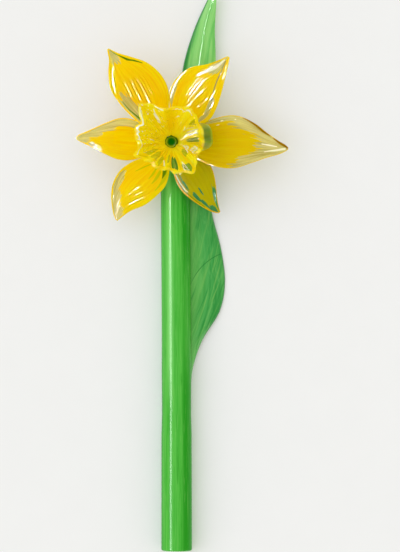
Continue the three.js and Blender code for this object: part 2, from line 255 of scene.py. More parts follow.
PETALS["petal_lower_right"] = dict(
    direction=-55.5, length=38.4, level=LOW, bend=(0.5, -6.6), crown=2.0, curl=(0.9, 0.7),
    left=(6.2, 8.5, 8.2, 5.9, 3.3, 1.7, 0.9),
    right=(6.0, 8.2, 8.6, 7.1, 5.2, 3.5, 1.8),
    clear=[
        (0.7, -0.62, 0.07, 0.13), (0.82, -0.5, 0.07, 0.16), (0.93, -0.2, 0.06, 0.5),
        (0.85, 0.75, 0.14, 0.2), (0.67, -0.15, 0.05, 0.05), (0.52, -0.66, 0.06, 0.05),
    ],
    lines=[
        ("green", [(0.3, -0.84, 0.2), (0.5, -0.86, 0.2), (0.7, -0.86, 0.15), (0.85, -0.84, 0.12)]),
        ("teal", [(0.38, -0.68, 0.15), (0.47, -0.7, 0.3), (0.53, -0.63, 0.2)]),
    ],
    rims=(0.75, 0.3), olive_and_shade=0.85, amber=0.3, ribs=8,
    folds=[
        (0.25, [(0.33, -0.86), (0.42, -0.85), (0.51, -0.83), (0.58, -0.8)]),
        (0.5, [(0.34, -0.62), (0.38, -0.62)]),
        (0.6, [(0.78, 0.82), (0.86, 0.8)]),
    ],
)
PETALS["petal_lower_left"] = dict(
    direction=-125.1, length=43.0, level=MIDDLE, bend=(0.1, -2.6), crown=1.0, curl=(0.4, 2.6),
    left=(6.6, 9.1, 8.5, 6.5, 3.2, 1.6, 0.8),
    right=(5.2, 9.2, 11.5, 10.9, 8.4, 5.2, 2.6),
    clear=[(0.66, -0.8, 0.12, 0.2), (0.85, -0.55, 0.13, 0.35), (0.97, 0.0, 0.12, 0.8)],
    lines=[
        ("lime", [(0.3, -0.3, 0.2), (0.38, -0.42, 0.35), (0.46, -0.5, 0.15)]),
        ("lime", [(0.3, 0.1, 0.3), (0.38, 0.16, 0.5), (0.45, 0.18, 0.15)]),
        ("lime", [(0.32, 0.4, 0.6), (0.38, 0.42, 0.7), (0.47, 0.44, 0.2)]),
        ("lime", [(0.3, 0.8, 1.0), (0.36, 0.78, 0.9), (0.44, 0.76, 0.4), (0.52, 0.78, 0.15)]),
        ("green", [(0.26, 0.62, 1.2), (0.31, 0.66, 0.8), (0.36, 0.68, 0.2)]),
    ],
    rims=(0.7, 0.35), olive_and_shade=0.0, amber=0.1, ribs=10,
    folds=[
        (0.65, [(0.57, 0.17), (0.64, 0.08), (0.71, -0.01)]),
        (0.55, [(0.57, 0.44), (0.69, 0.28)]),
        (0.55, [(0.59, 0.7), (0.69, 0.56), (0.79, 0.48)]),
        (0.5, [(0.67, -0.78), (0.68, -0.78)]),
        (0.5, [(0.79, -0.78), (0.84, -0.76)]),
    ],
)
PETALS["petal_left"] = dict(
    direction=177.5, length=42.9, level=LOW, bend=(2.2, 4.4), crown=2.8, curl=(0.4, 1.2),
    left=(6.4, 8.8, 8.9, 6.6, 4.2, 2.5, 1.4),
    right=(6.6, 9.4, 9.8, 7.3, 4.7, 2.8, 1.6),
    clear=[
        (0.7, -0.85, 0.16, 0.42), (0.47, -0.8, 0.2, 0.2), (0.96, 0.0, 0.1, 0.9),
        (0.82, -0.45, 0.1, 0.4), (0.82, 0.7, 0.05, 0.2),
    ],
    lines=[
        # painted highlight: a pale glint drawn into the colour
        ("pale", [(0.81, 0.5, 0.2), (0.83, 0.5, 0.45), (0.85, 0.55, 0.2)]),
    ],
    rims=(0.5, 0.3), olive_and_shade=0.05, amber=0.2, ribs=8, folds=[],
)
ROOT_REACH = 3.7
ROOT_HALF_WIDTH = 1.9
TIP_HALF_WIDTH = 0.5
PETAL_THICK = (1.2, 2.1)  # at its ends and where it is broadest
PETAL_EDGE = 0.5  # share of its thickness at the margins
FLAT_ROOT = 0.1  # a petal is flat across up to here, and fully arched from FULL_ARCH
FULL_ARCH = 0.5
ROOT_SWELL = 0.06  # where on its rise and fall a petal's thickness starts
RIB_HEIGHT = 0.04
FINE_RIB_HEIGHT = 0.012
RIB_WANDER = 0.03
MARGIN_WAVER = 0.08
TIP_RIM = 0.4  # width of the gathered colour round a petal's tip
FLOW_HALF_WIDTH = 9.0  # of a petal, as its streaks count it
FLOW_APART = 37.0  # from petal to petal, so that no two have the same streaks
# The slope across X of a surface that shows the strip light from above, and how it changes with the
# square of the slope across Y.
STRIP_TILT, STRIP_TILT_BEND = -0.404, 0.36

LIP = [
    # direction from the flower's axis in degrees, distance from it, height
    (0, 12.8, 38.6), (20, 13.2, 39.6), (38, 14.4, 37.0), (55, 16.4, 38.0),
    (70, 15.9, 40.0), (88, 14.8, 37.2), (104, 14.6, 40.6), (118, 18.2, 38.6),
    (131, 21.4, 36.6), (146, 15.9, 39.8), (158, 16.3, 37.8), (172, 15.8, 38.4),
    (187, 14.1, 40.8), (202, 16.9, 37.4), (222, 13.4, 40.2), (244, 13.4, 38.4),
    (263, 12.7, 40.8), (275, 13.8, 38.8), (292, 15.2, 38.0), (307, 17.1, 38.4),
    (320, 14.3, 40.4), (333, 13.1, 39.4), (346, 13.3, 38.2),
]
# Painted highlights: thin white lines drawn on the trumpet's inner face where glints of light lie, along
# the lip and inside: half width in mm, then direction in degrees and share up the wall at each turn.
PAINTED_GLINTS = [
    (0.24, [(133, 0.985), (170, 0.985)]),
    (0.2, [(170, 0.985), (178, 0.985), (186, 0.98), (195, 0.97), (202, 0.985)]),
    (0.22, [(115, 0.985), (105, 0.985)]),
    (0.14, [(82, 0.985), (76, 0.98), (68, 0.97), (61, 0.94), (58, 0.98), (54, 0.98), (50, 0.97)]),
    (0.18, [(67, 0.89), (62, 0.91), (56, 0.97)]),
    (0.2, [(76, 0.71), (72, 0.73)]),
    (0.14, [(119, 0.87), (120, 0.76), (121, 0.65)]),
    (0.45, [(121, 0.72), (121, 0.54), (122, 0.47)]),
    (0.26, [(175, 0.57), (176, 0.45)]),
    (0.2, [(250, 0.71), (254, 0.85), (255, 0.94)]),
    (0.12, [(342, 0.14), (331, 0.51), (326, 0.65)]),
    (0.12, [(346, 0.14), (334, 0.51)]),
    (0.14, [(334, 0.73), (344, 0.32), (349, 0.25), (344, 0.42), (337, 0.73), (331, 0.91), (333, 0.98)]),
    (0.16, [(298, 0.6), (295, 0.88), (295, 0.99)]),
    (0.16, [(299, 0.65), (301, 0.86)]),
    (0.12, [(296, 0.98), (302, 0.94), (297, 0.8)]),
    (0.16, [(46, 0.5), (40, 0.38)]),
    (0.18, [(39, 0.45), (32, 0.38)]),
    (0.18, [(30, 0.21), (25, 0.32), (22, 0.42)]),
    (0.14, [(21, 0.16), (18, 0.28)]),
]
WINDOWS = [
    # greener patches in the trumpet: direction, share up the wall, half size in each, depth
    (34, 0.8, 9, 0.16, 0.3),
    (4, 0.19, 5, 0.08, 0.5),
    (321, 0.47, 8, 0.13, 0.4),
    (301, 0.84, 8, 0.14, 0.8),
    (277.5, 0.68, 7, 0.26, 1.0),
    (262, 0.6, 3, 0.2, 0.3),
    (243, 0.74, 5, 0.2, 0.2),
    (225, 0.68, 7, 0.22, 0.2),
    (208, 0.6, 5, 0.2, 0.2),
]
WALL_LENGTH = 20.0  # of the trumpet, in which the painted highlights are drawn
FLOW_TURN, FLOW_RISE = 6, 16  # the trumpet's radius and height, as its streaks count them
THROAT_RADIUS = 2.95
THROAT_Z = 22.8
TRUMPET_THICK = (1.8, 1.3)  # at the throat and at the lip
TRUMPET_RISE = 1.25  # power of the share by which the wall rises
BELLY = dict(direction=8, spread=27, out=9.6)  # where the trumpet bulges to the right
BULGE_GLINT_AT = (0.68, 0.06)  # share up the wall of a pale line painted round the bulge as a highlight, and half its width
FLUTE = dict(direction=92, spread=23, depth=1.7)  # the smooth channel at its top
PLEATS = 18
PLEAT_HEIGHT = 0.9
PLEAT_OUT = 0.4
PLEAT_ONSET = 1.5  # power of the share by which the pleats deepen
RIDGES, RIDGE_HEIGHT = 27, 0.4  # fine ridges on the trumpet's inner face, all round
SIDE_RIDGES, SIDE_RIDGE_HEIGHT = 30, 0.5  # more of them low on the bulging side
FINE_RIDGES, FINE_RIDGE_HEIGHT = 57, 0.28  # and finer ones above those
DIMPLE_HEIGHT = 0.6
SHEEN_PATCH = dict(direction=24, spread=14)  # where the wall is painted paler lemon yellow: a painted sheen
GLINT_FLECK_SIDE = 130  # direction of the white flecks, painted glints
SPECKLED_SIDE = 140  # and of the speckled relief
LIP_SPREAD = 0.06  # share of the wall over which the lip's bead and turn fade out
LIP_BEAD = (0.1, 0.5)  # its least thickening, and how much more it has in places
LIP_EASE = 3  # steps round the lip over which its turn is evened out
LIP_TURN_MOST = 40  # degrees

# Seeds of the irregular fields. A petal adds its own number to the first three.
WANDER_SEED, FINE_RIB_SEED, WAVER_SEED = 40, 60, 80
RIDGE_SEED, DIMPLE_SEED, LUMP_SEED = 21, 11, 5

# ----- curves and surfaces -----


def ease(x, low, high):
    """0 below low and 1 above high, with a smooth rise between."""
    x = np.clip((x - low) / (high - low), 0.0, 1.0)
    return x * x * (3.0 - 2.0 * x)


def lerp(a, b, share):
    return a + (b - a) * share


def along(rows, t, closed=False):
    """Catmull-Rom through rows of numbers, for an array t from 0 at the first row to 1 at the last,
    or at the first again where the curve is closed."""
    rows = np.asarray(rows, float)
    count = len(rows)
    last = count if closed else count - 1
    place = np.clip(t, 0.0, 1.0) * last
    i = np.minimum(place.astype(int), last - 1)
    f = (place - i)[..., None]
    wrap = (lambda k: k % count) if closed else (lambda k: np.clip(k, 0, last))
    a, b, c, d = (rows[wrap(i + k)] for k in (-1, 0, 1, 2))
    cubic = 3.0 * (b - c) + d - a
    return b + 0.5 * f * ((c - a) + f * ((2.0 * a - 5.0 * b + 4.0 * c - d) + f * cubic))


def ripple(x, y, seed, waves=5):
    """A smooth irregular field from -1 to 1, the same each run."""
    draw = np.random.default_rng(seed)
    total = np.zeros(np.broadcast(x, y).shape)
    for _ in range(waves):
        across, up, phase = draw.uniform(-1, 1), draw.uniform(-1, 1), draw.uniform(0, 2 * pi)
        total = total + np.sin(2 * pi * (across * x + up * y) + phase)
    return total / waves


def blade_grid(rows, cells, gather=0.6):
    """t along and v across of a blade's closed rings: over the top from its right margin to its left
    and back underneath. face is 1 on top, -1 below and fades out round the margins and both ends.
    gather is how far the cells crowd towards the margins."""
    t = np.linspace(0.0, 1.0, rows + 1)
    even = np.linspace(-1.0, 1.0, cells + 1)
    v = lerp(even, np.sin(even * pi / 2), gather)
    ring_v = np.concatenate([v, v[-2:0:-1]])
    ring_face = np.concatenate([np.ones(cells + 1), -np.ones(cells - 1)])
    T, V = np.meshgrid(t, ring_v, indexing="ij")
    face = ring_face * np.sqrt(np.clip(1.0 - np.abs(V) ** 24, 0.0, 1.0))
    face = face * np.sqrt(np.clip(1.0 - np.abs(2.0 * T - 1.0) ** 70, 0.0, 1.0))
    return T, V, face


def add(thing):
    bpy.context.scene.collection.objects.link(thing)


def make_piece(name, points, marks, material, node, joined=False):
    """A closed mesh over rings of points in mm, which stands for the CAD node."""
    rings, around = points.shape[:2]
    numbers = np.arange(rings * around).reshape(rings, around)
    here = numbers if joined else numbers[:-1]
    after = np.roll(numbers, -1, axis=0) if joined else numbers[1:]
    faces = np.stack([here, np.roll(here, -1, 1), np.roll(after, -1, 1), after], axis=-1)
    mesh = bpy.data.meshes.new(name)
    places = (points.reshape(-1, 3) + AXIS) * MM
    mesh.from_pydata(places.tolist(), [], faces.reshape(-1, 4).tolist())
    for key, values in marks.items():
        vector = values.ndim == 3
        kind = "FLOAT_VECTOR" if vector else "FLOAT"
        layer = mesh.attributes.new(key, kind, "POINT")
        layer.data.foreach_set("vector" if vector else "value", values.astype(np.float32).ravel())
    work = bmesh.new()
    work.from_mesh(mesh)
    bmesh.ops.remove_doubles(work, verts=work.verts, dist=1e-6)
    bmesh.ops.recalc_face_normals(work, faces=work.faces)
    work.to_mesh(mesh)
    work.free()
    mesh.shade_smooth()
    mesh.materials.append(material)
    piece = bpy.data.objects.new(name, mesh)
    add(piece)
    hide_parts(node)
    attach(piece, "root")
    return piece


# ----- materials -----

NOISE_ROUGHNESS = 0.55


class Shader:
    """A material on one Principled shader, with short calls for the nodes that feed it."""

    def __init__(self, name, **values):
        self.material = bpy.data.materials.new(name)
        self.material.use_nodes = True
        self.tree = self.material.node_tree
        self.surface = self.tree.nodes["Principled BSDF"]
        self.set(**values)

    def set(self, **values):
        for key, value in values.items():
            self.feed(self.surface.inputs[key.replace("_", " ")], value)

    def feed(self, socket, value):
        if isinstance(value, bpy.types.NodeSocket):
            self.tree.links.new(value, socket)
        else:
            socket.default_value = value

    def node(self, kind, inputs, **settings):
        made = self.tree.nodes.new("ShaderNode" + kind)
        for key, value in settings.items():
            setattr(made, key, value)
        for key, value in inputs.items():
            self.feed(made.inputs[key], value)
        return made

    def math(self, operation, a, b=0.0):
        return self.node("Math", {0: a, 1: b}, operation=operation).outputs[0]

    def times(self, a, b):
        return self.math("MULTIPLY", a, b)

    def mark(self, name, output="Fac"):
        """How much of a named mark the mesh has at each place, or the place itself in its glass."""
        return self.node("Attribute", {}, attribute_name=name).outputs[output]

    def smooth(self, value, low, high, to_low=0.0, to_high=1.0):
        ends = {"Value": value, "From Min": low, "From Max": high, "To Min": to_low, "To Max": to_high}
        return self.node("MapRange", ends, interpolation_type="SMOOTHSTEP").outputs["Result"]

    def mix(self, share, a, b):
        made = self.node("Mix", {0: share, 6: a, 7: b}, data_type="RGBA")
        return made.outputs[2]

    def noise(self, vector, stretch, detail=3.0, distortion=0.0):
        place = self.node("VectorMath", {0: vector, 1: stretch}, operation="MULTIPLY").outputs[0]
        inputs = {
            "Vector": place, "Scale": 1.0, "Detail": detail,
            "Roughness": NOISE_ROUGHNESS, "Distortion": distortion,
        }
        return self.node("TexNoise", inputs).outputs["Fac"]

    def bump(self, height, distance_mm, normal=None):
        inputs = {"Height": height, "Distance": distance_mm * MM, "Strength": 1.0}
        if normal is not None:
            inputs["Normal"] = normal
        return self.node("Bump", inputs).outputs["Normal"]


def rgb(red, green, blue):
    """A linear colour from 0 to 255 sRGB."""
    levels = (level / 255.0 for level in (red, green, blue))
    return (*(v / 12.92 if v <= 0.04045 else ((v + 0.055) / 1.055) ** 2.4 for v in levels), 1.0)


# The petals' glass
YELLOW = rgb(255, 218, 0)
AMBER = rgb(250, 192, 0)
LEMON = rgb(255, 230, 0)
# olive petal colour: partly the glass's own tint, partly painted shade from the trumpet
OLIVE_AND_SHADE = rgb(176, 172, 0)
CREAM = rgb(244, 232, 152)
SMOKE = rgb(210, 196, 104)
SEA_GREEN = rgb(78, 168, 96)
RIM_GOLD = rgb(252, 208, 2)
RIM_AMBER = rgb(226, 172, 0)
LINE_COLOURS = {
    # by tint, in the order in which they cover each other
    "lime": rgb(210, 204, 0),
    "green": rgb(92, 138, 6),
    "teal": rgb(84, 160, 110),
    "gold": rgb(156, 116, 0),
    # grey lines are painted shade and sheen in a groove
    "grey": rgb(168, 158, 92),
    # pale lines are painted highlights
    "pale": rgb(250, 244, 214),
}
# The trumpet's
CUP_YELLOW = rgb(255, 226, 22)
CUP_AMBER = rgb(254, 200, 0)
CUP_LEMON = rgb(255, 236, 50)
# painted shade in the pleats' valleys
CUP_VALLEY_SHADE = rgb(236, 186, 0)
CUP_FLUTE = rgb(254, 208, 0)
# painted sheen on the trumpet's right inner wall
CUP_SHEEN = rgb(255, 240, 60)
CUP_LIP = rgb(240, 192, 0)
WINDOW_DEEP = rgb(70, 150, 50)
WINDOW_PALE = rgb(130, 184, 80)
WINDOW_SHALLOW = rgb(214, 206, 8)
BULGE_PALE = rgb(110, 142, 0)
BULGE_DEEP = rgb(94, 130, 0)
# painted highlight colour of the line round the bulge
BULGE_GLINT = rgb(176, 186, 10)
# white of the painted glints and flecks
GLINT_WHITE = rgb(255, 253, 236)
# The stem's
ROD_PALE = rgb(86, 190, 68)
ROD_DEEP = rgb(60, 172, 48)
ROD_CLOUD = rgb(104, 204, 82)
# painted sheen colour of the rod's pale band
ROD_SHEEN = rgb(124, 214, 104)
# darker side colour: the glass's own edges and painted shade
ROD_SIDE_DARK_AND_SHADE = rgb(44, 156, 34)
ROD_DARK_WISP = rgb(44, 152, 34)
ROD_PALE_WISP = rgb(118, 200, 92)
NECK_GREEN = rgb(150, 158, 10)
EYE_GREEN = rgb(6, 110, 2)
EYE_LIP_GREEN = rgb(170, 190, 20)
# The leaf's
LEAF_PALE = rgb(76, 172, 84)
LEAF_DEEP = rgb(54, 152, 66)
LEAF_SWIRL = rgb(98, 184, 96)
# painted light on the leaf's lit left side
LEAF_LIT_SIDE = rgb(112, 190, 88)
LEAF_PALE_WISP = rgb(118, 190, 94)
LEAF_DARK_WISP = rgb(44, 142, 60)
LEAF_MARK = rgb(40, 126, 54)
LEAF_TIP_PALE = rgb(146, 218, 122)
LEAF_TIP_DEEP = rgb(112, 200, 98)
LEAF_DARK_EDGE = rgb(44, 138, 58)

GLOW = dict(  # light spreads a little way inside the coloured glass
    Subsurface_Weight=0.6,
    Subsurface_Radius=(2.5 * MM, 2.0 * MM, 0.2 * MM),
    Subsurface_Scale=1.0,
)
CUP_GLOW = dict(  # and further in the trumpet, which is lit from all round
    GLOW,
    Subsurface_Weight=0.9,
    Subsurface_Radius=(6.0 * MM, 4.4 * MM, 0.3 * MM),
)


def petal_material():
    m = Shader("petal_glass", IOR=1.5, **GLOW)
    flow = m.mark("flow", "Vector")
    fine = m.noise(flow, (1.9, 0.06, 1.0), detail=4.0)
    broad = m.noise(flow, (0.5, 0.03, 1.0), detail=2.0)
    fingers = m.noise(flow, (1.1, 0.11, 1.0), detail=3.0)
    uneven = m.times(m.math("SUBTRACT", fingers, 0.5), 1.5)
    coloured = m.smooth(m.math("ADD", m.mark("coloured"), uneven), -0.08, 0.1)
    colour = m.mix(m.smooth(fine, 0.4, 0.7, 0.0, 0.75), YELLOW, AMBER)
    colour = m.mix(m.times(m.mark("amber"), 0.7), colour, AMBER)
    colour = m.mix(m.smooth(broad, 0.5, 0.75, 0.0, 0.7), colour, LEMON)
    # the olive share is partly the glass's tint and partly painted shade where the trumpet shades the
    # petal
    olive_and_shade = m.mark("olive_and_shade")
    colour = m.mix(olive_and_shade, colour, OLIVE_AND_SHADE)
    clear = m.mix(m.smooth(fine, 0.4, 0.65), CREAM, SMOKE)
    clear = m.mix(m.smooth(olive_and_shade, 0.6, 0.8), clear, SEA_GREEN)
    colour = m.mix(coloured, clear, colour)
    rim = m.smooth(m.mark("margin"), 1.15, 0.85)
    colour = m.mix(rim, colour, m.mix(olive_and_shade, RIM_GOLD, RIM_AMBER))
    solid = m.math("MAXIMUM", coloured, rim)
    for tint, line_colour in LINE_COLOURS.items():
        line = m.mark("line_" + tint)
        colour = m.mix(line, colour, line_colour)
        solid = m.math("MAXIMUM", solid, line)
    m.set(
        Base_Color=colour,
        Transmission_Weight=m.smooth(solid, 0.0, 1.0, 0.35, 0.0),
        Roughness=m.smooth(broad, 0.3, 0.8, 0.015, 0.04),
        Normal=m.bump(fine, 0.02),
    )
    return m.material


def trumpet_material():
    m = Shader("trumpet_glass", IOR=1.32, **CUP_GLOW)
    flow = m.mark("flow", "Vector")
    streaks = m.noise(flow, (1.3, 1.3, 0.10), detail=4.0)
    broad = m.noise(flow, (0.35, 0.35, 0.06), detail=2.0)
    speckle = m.noise(flow, (1.1, 1.1, 0.5), detail=2.0)
    uneven = m.times(m.math("SUBTRACT", streaks, 0.5), 1.4)
    coloured = m.smooth(m.math("ADD", m.mark("coloured"), uneven), -0.08, 0.12)
    colour = m.mix(m.smooth(streaks, 0.45, 0.75, 0.0, 0.6), CUP_YELLOW, CUP_AMBER)
    colour = m.mix(m.smooth(broad, 0.5, 0.75, 0.0, 0.6), colour, CUP_LEMON)
    # painted shade: darker amber in the pleats' valleys, more on the lower half
    colour = m.mix(m.times(m.mark("valley_shade"), 0.7), colour, CUP_VALLEY_SHADE)
    colour = m.mix(m.times(m.mark("flute"), 0.8), colour, CUP_FLUTE)
    # painted sheen: paler lemon where the wall catches the light
    colour = m.mix(m.mark("painted_sheen"), colour, CUP_SHEEN)
    colour = m.mix(m.mark("lip"), colour, CUP_LIP)
    window = m.mix(m.smooth(streaks, 0.4, 0.6), WINDOW_DEEP, WINDOW_PALE)
    window = m.mix(m.mark("deep"), WINDOW_SHALLOW, window)
    colour = m.mix(coloured, window, colour)
    belly = m.mark("belly")
    bulge = m.mix(m.smooth(broad, 0.4, 0.65), BULGE_PALE, BULGE_DEEP)
    colour = m.mix(belly, colour, bulge)
    # painted highlight: a pale line round the bulge
    colour = m.mix(m.mark("bulge_glint"), colour, BULGE_GLINT)
    # painted glints: small white flecks on the left inner wall
    glint_flecks = m.smooth(m.noise(flow, (2.2, 2.2, 0.8), detail=1.0), 0.66, 0.71, 0.0, 0.85)
    glint_flecks = m.times(glint_flecks, m.mark("glint_flecked"))
    # painted highlights: white lines and flecks where glints of light lie
    colour = m.mix(m.math("MAXIMUM", glint_flecks, m.mark("painted_glint")), colour, GLINT_WHITE)
    see = m.times(m.smooth(coloured, 0.0, 1.0, 0.3, 0.0), m.mark("deep"))
    dull = m.times(belly, 0.4)
    rough = m.times(m.mark("speckled"), m.smooth(speckle, 0.35, 0.65))
    m.set(
        Base_Color=colour,
        Transmission_Weight=see,
        Roughness=m.math("ADD", m.smooth(broad, 0.3, 0.8, 0.015, 0.04), dull),
        Normal=m.bump(rough, 0.3, normal=m.bump(streaks, 0.06)),
    )
    return m.material


def stem_material():
    m = Shader("stem_glass", IOR=1.2)
    flow = m.mark("flow", "Vector")
    neck = m.mark("neck")
    streaks = m.noise(flow, (0.9, 0.022, 0.9), detail=4.0, distortion=0.3)
    broad = m.noise(flow, (0.35, 0.008, 0.35), detail=2.0)
    wisps = m.noise(flow, (1.6, 0.05, 1.6), detail=3.0, distortion=1.2)
    colour = m.mix(m.smooth(streaks, 0.35, 0.7), ROD_PALE, ROD_DEEP)
    colour = m.mix(m.smooth(broad, 0.45, 0.75, 0.0, 0.6), colour, ROD_CLOUD)
    # painted sheen: a pale band where a soft reflection lies on the rod
    colour = m.mix(m.mark("sheen_band"), colour, ROD_SHEEN)
    # darker sides: partly the glass's own edges, partly painted shade away from the light
    colour = m.mix(m.mark("dark"), colour, ROD_SIDE_DARK_AND_SHADE)
    colour = m.mix(m.smooth(wisps, 0.56, 0.68, 0.0, 0.55), colour, ROD_DARK_WISP)
    colour = m.mix(m.smooth(wisps, 0.42, 0.34, 0.0, 0.4), colour, ROD_PALE_WISP)
    colour = m.mix(neck, colour, NECK_GREEN)
    colour = m.mix(m.mark("eye"), colour, EYE_GREEN)
    # the eye's pale ring is its own, and is painted lighter towards the lower left as a painted
    # highlight
    colour = m.mix(m.mark("lip"), colour, EYE_LIP_GREEN)
    relief = m.times(streaks, m.smooth(neck, 0.0, 0.2, 1.0, 0.0))
    m.set(Base_Color=colour, Roughness=m.mark("dull"), Normal=m.bump(relief, 0.03))
    return m.material


def leaf_material():
    m = Shader("leaf_glass", IOR=1.5, Roughness=0.1)
    flow = m.mark("flow", "Vector")
    place = m.mark("place", "Vector")
    streaks = m.noise(flow, (0.6, 0.03, 1.0), detail=4.0, distortion=0.5)
    swirls = m.noise(flow, (0.22, 0.05, 1.0), detail=3.0, distortion=2.0)
    wisps = m.noise(m.mark("fan", "Vector"), (0.5, 0.035, 1.0), detail=4.0, distortion=0.8)
    colour = m.mix(m.smooth(streaks, 0.35, 0.7), LEAF_PALE, LEAF_DEEP)
    colour = m.mix(m.smooth(swirls, 0.5, 0.7, 0.0, 0.7), colour, LEAF_SWIRL)
    # painted light: the lower leaf is lighter on its left side, towards the light
    colour = m.mix(m.mark("painted_lit_side"), colour, LEAF_LIT_SIDE)
    colour = m.mix(m.smooth(wisps, 0.5, 0.68, 0.0, 0.7), colour, LEAF_PALE_WISP)
    colour = m.mix(m.smooth(wisps, 0.46, 0.3, 0.0, 0.7), colour, LEAF_DARK_WISP)
    reach = m.node("VectorMath", {0: place, 1: MARK_CENTRE}, operation="DISTANCE").outputs["Value"]
    from_mark = m.math("ABSOLUTE", m.math("SUBTRACT", reach, MARK_RADIUS))
    mark = m.times(m.smooth(from_mark, *MARK_WIDTH), m.mark("marked"))
    colour = m.mix(mark, colour, LEAF_MARK)
    tip = m.mix(m.smooth(streaks, 0.4, 0.65), LEAF_TIP_PALE, LEAF_TIP_DEEP)
    colour = m.mix(m.mark("tip"), colour, tip)
    colour = m.mix(m.mark("dark_edge"), colour, LEAF_DARK_EDGE)
    m.set(Base_Color=colour, Normal=m.bump(streaks, 0.12))
    return m.material


# ----- stem -----


def stem_rings(across, up):
    """Rings of points from the foot, round the bend and up over the eye. across and up are the cosine
    and the sine of the places round a ring."""
    rings = []

    def ring(x, y, z, radius, turn=0.0):
        """turn is how far the bend has turned the ring from +Y towards +Z."""
        y = y - radius * up * sin(turn)
        z = np.maximum(z + radius * up * cos(turn), 0.0)
        rings.append(np.stack([x + radius * across, y, z], axis=-1))

    lie = cos(FLAT_ANGLE)
    foot_x, foot_radius = STEM_RUN[0][1:]
    for step in np.linspace(0, pi / 2, 7):
        inset = FOOT_ROUND * (1 - sin(step))
        y = FOOT_Y + FOOT_ROUND * (1 - cos(step))
        ring(foot_x, y, foot_radius * lie, foot_radius - inset)
    rings.insert(0, np.repeat(rings[0].mean(0)[None], len(across), 0))
    ys = [row[0] for row in STEM_RUN]
    for y in np.linspace(ys[0], ys[-1], 200)[1:]:
        x, radius = (float(np.interp(y, ys, [row[k] for row in STEM_RUN])) for k in (1, 2))
        ring(x, y, radius * lie, radius)
    start_y, start_x, start_radius = STEM_RUN[-1]
    upright = pi / 2
    for turned in np.linspace(0, 1, 17)[1:]:
        turn = turned * upright
        ring(
            start_x * (1 - ease(turned, 0, BEND_CENTRED)),
            start_y + BEND_RADIUS * sin(turn),
            start_radius * lie + BEND_RADIUS * (1 - cos(turn)),
            lerp(start_radius, SEAT_RADIUS, turned),
            turn,
        )
    for z, radius in HEAD_RINGS:
        ring(0, 0, z, radius, upright)
    return np.stack(rings)


def make_stem():
    angle = np.linspace(0, 2 * pi, 96, endpoint=False)
    across, up = np.cos(angle), np.sin(angle)
    points = stem_rings(across, up)
    x, y, z = np.moveaxis(points, -1, 0)
    from_axis = np.hypot(x, y)
    at_top = (from_axis < SEAT_RADIUS + 1.0) & (z > SEAT_Z - 1.0)
    eye = ease(z, SHOULDER_Z - 0.4, SHOULDER_Z + 0.2) * at_top
    lip = np.exp(-(((from_axis - EYE_LIP_RADIUS) / EYE_LIP_WIDTH) ** 2))
    # painted highlight: the eye's ring is lighter towards the lower left
    lit = 0.4 + 0.6 * ease(-x - y, -0.5, 1.5)
    # painted sheen down the rod's upper left
    sheen_band = np.exp(-(((across - SHEEN_BAND_PLACE) / SHEEN_BAND_WIDTH) ** 2)) * (up > 0)
    # partly the glass's darker edges and partly painted shade on the side away from the light
    dark_and_shaded_sides = ease(across, *DARK_RIGHT) + ease(-across, *DARK_LEFT)
    eased = DARK_EASED * ease(y, *DARK_EASES) * (1 - ease(y, *DARK_RETURNS))
    soft = SOFTNESS + MIDDLE_SOFTNESS * ease(y, *MIDDLE_STARTS)
    marks = {
        "flow": np.stack([across * FLOW_RADIUS + 0 * x, y, up * FLOW_RADIUS + 0 * x], axis=-1),
        "neck": ease(z, SEAT_Z - 1.0, SEAT_Z + 1.0) * at_top,
        "eye": eye,
        "lip": eye * lip * lit,
        "sheen_band": sheen_band * ease(y, *SHEEN_BAND_STARTS),
        "dark": dark_and_shaded_sides * (up > DARK_LOWEST) * (1.0 - eased),
        "dull": GLOSS + (1 - ease(y, *SOFTNESS_ENDS)) * soft * (1 - at_top),
    }
    piece = make_piece("stem_rod", points, marks, stem_material(), "stem")


# ----- leaf -----


def make_leaf():
    T, V, face = blade_grid(260, 56)
    y, left, right, left_z, right_z = np.moveaxis(along(LEAF, T), -1, 0)
    share = (1.0 - V) / 2.0
    half = (right - left) / 2.0
    broad = ease(half, 0.0, LEAF_BROAD)
    thick = LEAF_THICK * lerp(1.0, LEAF_EDGE, V * V) * lerp(LEAF_NARROW, 1.0, broad)
    midrib = ease(T, *MIDRIB_STARTS) * np.exp(-((V / MIDRIB_WIDTH) ** 2))
    raised = LEAF_CROWN * (1.0 - V * V) + MIDRIB_HEIGHT * midrib
    z = lerp(left_z, right_z, share) + raised * broad + face * thick / 2.0
    x = lerp(left, right, share)
    points = np.stack([x, y, np.maximum(z, 0.0)], axis=-1)
    light = 1 - ease(T, *LIT_SIDE_ENDS)
    crossed = ease(T, *DARK_EDGE_CROSSES)
    rise = y - FAN_Y
    marks = {
        "flow": np.stack([V * half, y, 0 * y], axis=-1),
        "fan": np.stack([x - FAN_LEAN * rise + FAN_CURVE * rise**2, y, 0 * y], axis=-1),
        "place": np.stack([x, y, 0 * y], axis=-1),
        "marked": ease(y, *MARK_STARTS) * (y < MARK_ENDS),
        # painted light on the lower leaf's left side
        "painted_lit_side": 0.6 * light * ease(V, -0.3, 0.7),
        "tip": ease(T, *PALE_TIP_STARTS) + 0.45 * (1 - ease(T, *PALE_FOOT_ENDS)),
        "dark_edge": ease(V, 0.62, 0.9) * crossed + ease(-V, 0.9, 1.0) * (1 - crossed),
    }
    piece = make_piece("leaf_blade", points, marks, leaf_material(), "leaf")


# ----- petals -----


